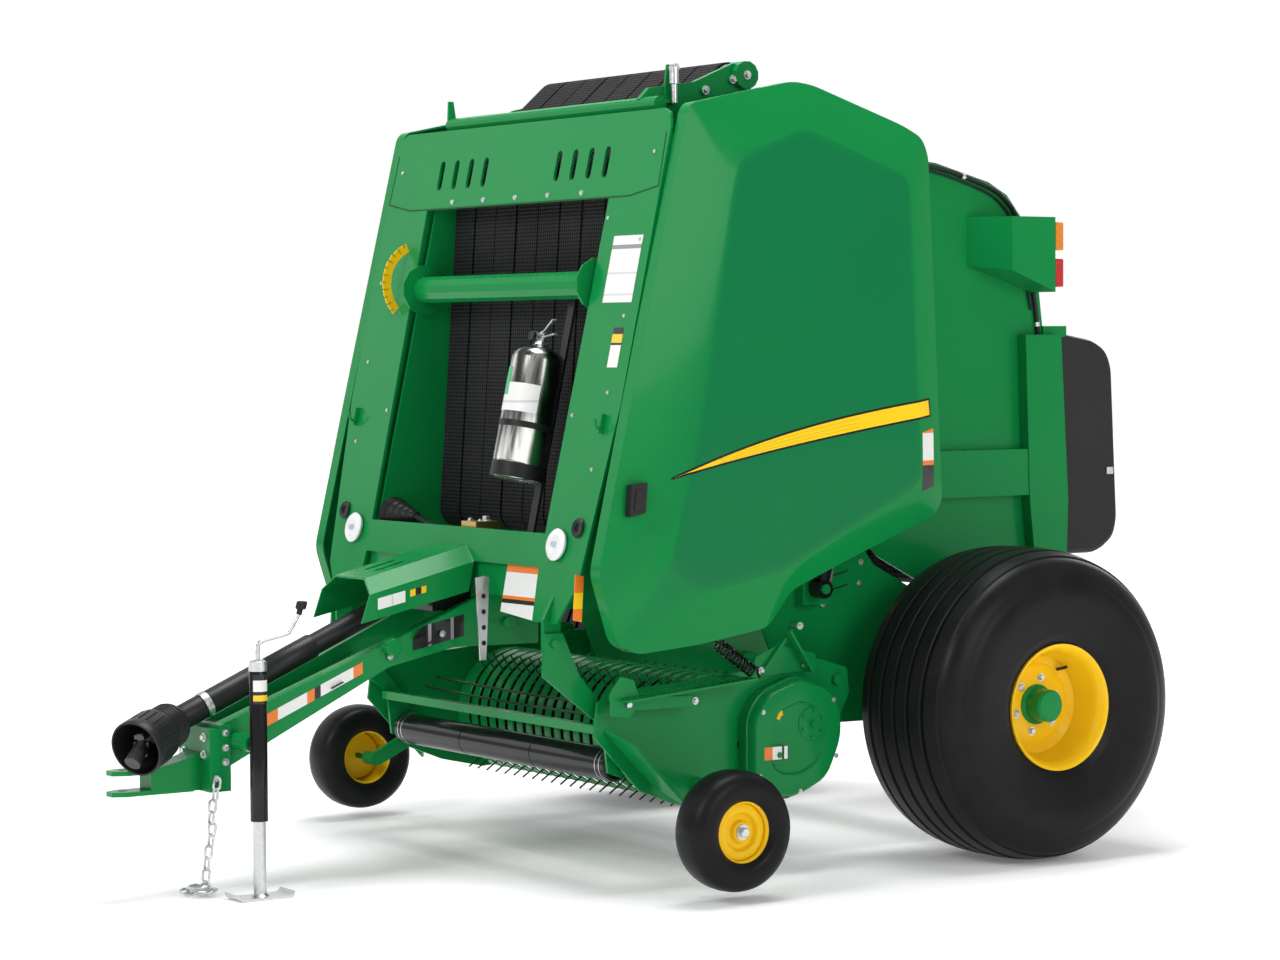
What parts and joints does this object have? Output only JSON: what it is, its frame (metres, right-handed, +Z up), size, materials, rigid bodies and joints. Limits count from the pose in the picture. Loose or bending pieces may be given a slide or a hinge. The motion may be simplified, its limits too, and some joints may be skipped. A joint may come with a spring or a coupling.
{
  "type": "round baler",
  "caption": "Round baler for a tractor: belt chamber with a lifting tailgate, tined pickup with small side wheels, flotation tyres, drawbar with driveline, hinged side shields and a jack.",
  "frame": {"origin": "on the ground, below the middle of the machine", "axes": "+Y towards the tailgate (rear), +X to the machine's left, +Z up; the drawbar points to -Y"},
  "size_m": [2.702, 4.0002, 2.8615],
  "materials": {
    "green": "gloss",
    "yellow": "gloss",
    "black_metal": "gloss",
    "black_plastic": "satin",
    "belt": "matte",
    "tyre": "matte",
    "zinc": "satin",
    "stainless": "polished",
    "brass": "satin",
    "lamp": "gloss",
    "hose": "satin"
  },
  "bodies": {
    "frame": {"axle": "black_metal", "bale_size_scale": "yellow", "belt_arm": "green", "belt_roller_lower": "black_metal", "belt_roller_top": "black_metal", "belt_roller_upper": "black_metal", "cross_tube": "green", "drawbar": "green", "driveline": "black_plastic", "extinguisher": "stainless", "extinguisher_bracket": "black_metal", "front_belts": "belt", "front_panel": "green", "gearbox": "black_metal", "gearbox_cover": "green", "hitch_clevis": "green", "hose_left": "hose", "hose_right": "hose", "safety_chain": "zinc", "side_sheet_left": "green", "side_sheet_right": "green", "starter_roller": "black_metal", "valve_block": "brass"},
    "wheel_left": {"tyre_left": "tyre", "rim_left": "yellow"},
    "wheel_right": {"tyre_right": "tyre", "rim_right": "yellow"},
    "pickup": {"pickup_frame": "green", "stripper_bands": "green", "pickup_drive_cover": "green"},
    "reel": {"pickup_reel": "black_metal"},
    "gauge_wheel_left": {"gauge_tyre_left": "tyre", "gauge_rim_left": "yellow"},
    "gauge_wheel_right": {"gauge_tyre_right": "tyre", "gauge_rim_right": "yellow"},
    "windguard": {"windguard": "green"},
    "press_roller": {"press_roller": "black_metal"},
    "tailgate": {"gate_side_left": "green", "gate_side_right": "green", "gate_rear_sheet": "green", "gate_belts": "belt", "gate_roller_top": "black_metal", "gate_roller_rear": "black_metal", "gate_roller_low": "black_metal", "lamps_left": "lamp", "lamps_right": "lamp"},
    "rear_cover": {"rear_cover": "black_plastic"},
    "cylinder_barrel_left": {"cylinder_barrel_left": "black_metal"},
    "cylinder_barrel_right": {"cylinder_barrel_right": "black_metal"},
    "cylinder_rod_left": {"cylinder_rod_left": "zinc"},
    "cylinder_rod_right": {"cylinder_rod_right": "zinc"},
    "side_shield_left": {"side_shield_left": "green"},
    "side_shield_right": {"side_shield_right": "green"},
    "jack": {"jack_tube": "black_metal"},
    "jack_leg": {"jack_leg": "zinc"}
  },
  "joints": [
    {"name": "wheel_left_roll", "type": "hinge", "parent": "frame", "child": "wheel_left", "pos_m": [1.044, 1.1031, 0.5625], "axis": [1, 0, 0], "continuous": true},
    {"name": "wheel_right_roll", "type": "hinge", "parent": "frame", "child": "wheel_right", "pos_m": [-1.044, 1.1031, 0.5625], "axis": [1, 0, 0], "continuous": true},
    {"name": "pickup_lift", "type": "hinge", "parent": "frame", "child": "pickup", "pos_m": [0, 0.4831, 0.66], "axis": [-1, 0, 0], "range_deg": [-3, 12]},
    {"name": "reel_spin", "type": "hinge", "parent": "pickup", "child": "reel", "pos_m": [0, 0.0731, 0.455], "axis": [1, 0, 0], "continuous": true},
    {"name": "gauge_left_roll", "type": "hinge", "parent": "pickup", "child": "gauge_wheel_left", "pos_m": [1.2685, -0.3159, 0.2405], "axis": [1, 0, 0], "continuous": true},
    {"name": "gauge_right_roll", "type": "hinge", "parent": "pickup", "child": "gauge_wheel_right", "pos_m": [-1.2685, -0.3159, 0.2405], "axis": [1, 0, 0], "continuous": true},
    {"name": "windguard_float", "type": "hinge", "parent": "frame", "child": "windguard", "pos_m": [0, -0.6889, 0.848], "axis": [1, 0, 0], "range_deg": [0, 10]},
    {"name": "press_roller_spin", "type": "hinge", "parent": "windguard", "child": "press_roller", "pos_m": [0, -0.4169, 0.41], "axis": [1, 0, 0], "continuous": true},
    {"name": "tailgate_lift", "type": "hinge", "parent": "frame", "child": "tailgate", "pos_m": [0, 0.6431, 2.52], "axis": [1, 0, 0], "range_deg": [0, 60]},
    {"name": "rear_cover_lift", "type": "hinge", "parent": "tailgate", "child": "rear_cover", "pos_m": [0, 1.7011, 1.905], "axis": [1, 0, 0], "range_deg": [0, 80]},
    {"name": "cylinder_left_swing", "type": "hinge", "parent": "frame", "child": "cylinder_barrel_left", "pos_m": [0.7, 0.4831, 0.98], "axis": [1, 0, 0], "range_deg": [-9.07, 0]},
    {"name": "cylinder_right_swing", "type": "hinge", "parent": "frame", "child": "cylinder_barrel_right", "pos_m": [-0.7, 0.4831, 0.98], "axis": [1, 0, 0], "range_deg": [-9.07, 0]},
    {"name": "cylinder_left_stroke", "type": "slide", "parent": "cylinder_barrel_left", "child": "cylinder_rod_left", "axis": [0, 0.2261, 0.9741], "range_m": [0, 0.3823]},
    {"name": "cylinder_right_stroke", "type": "slide", "parent": "cylinder_barrel_right", "child": "cylinder_rod_right", "axis": [0, 0.2261, 0.9741], "range_m": [0, 0.3823]},
    {"name": "shield_left_swing", "type": "hinge", "parent": "frame", "child": "side_shield_left", "pos_m": [0.955, 0.7311, 1.9], "axis": [0, 0, 1], "range_deg": [0, 90]},
    {"name": "shield_right_swing", "type": "hinge", "parent": "frame", "child": "side_shield_right", "pos_m": [-0.955, 0.7311, 1.9], "axis": [0, 0, -1], "range_deg": [0, 90]},
    {"name": "jack_swing", "type": "hinge", "parent": "frame", "child": "jack", "pos_m": [0.265, -1.5639, 0.52], "axis": [1, 0, 0], "range_deg": [0, 90]},
    {"name": "jack_leg_slide", "type": "slide", "parent": "jack", "child": "jack_leg", "axis": [0, 0, 1], "range_m": [0, 0.24]}
  ],
  "couplings": [
    {"joint": "cylinder_left_swing", "follows": "tailgate_lift", "ratio": -0.1496},
    {"joint": "cylinder_left_stroke", "follows": "tailgate_lift", "m_per_rad": 0.3615},
    {"joint": "cylinder_right_swing", "follows": "tailgate_lift", "ratio": -0.1496},
    {"joint": "cylinder_right_stroke", "follows": "tailgate_lift", "m_per_rad": 0.3615}
  ]
}
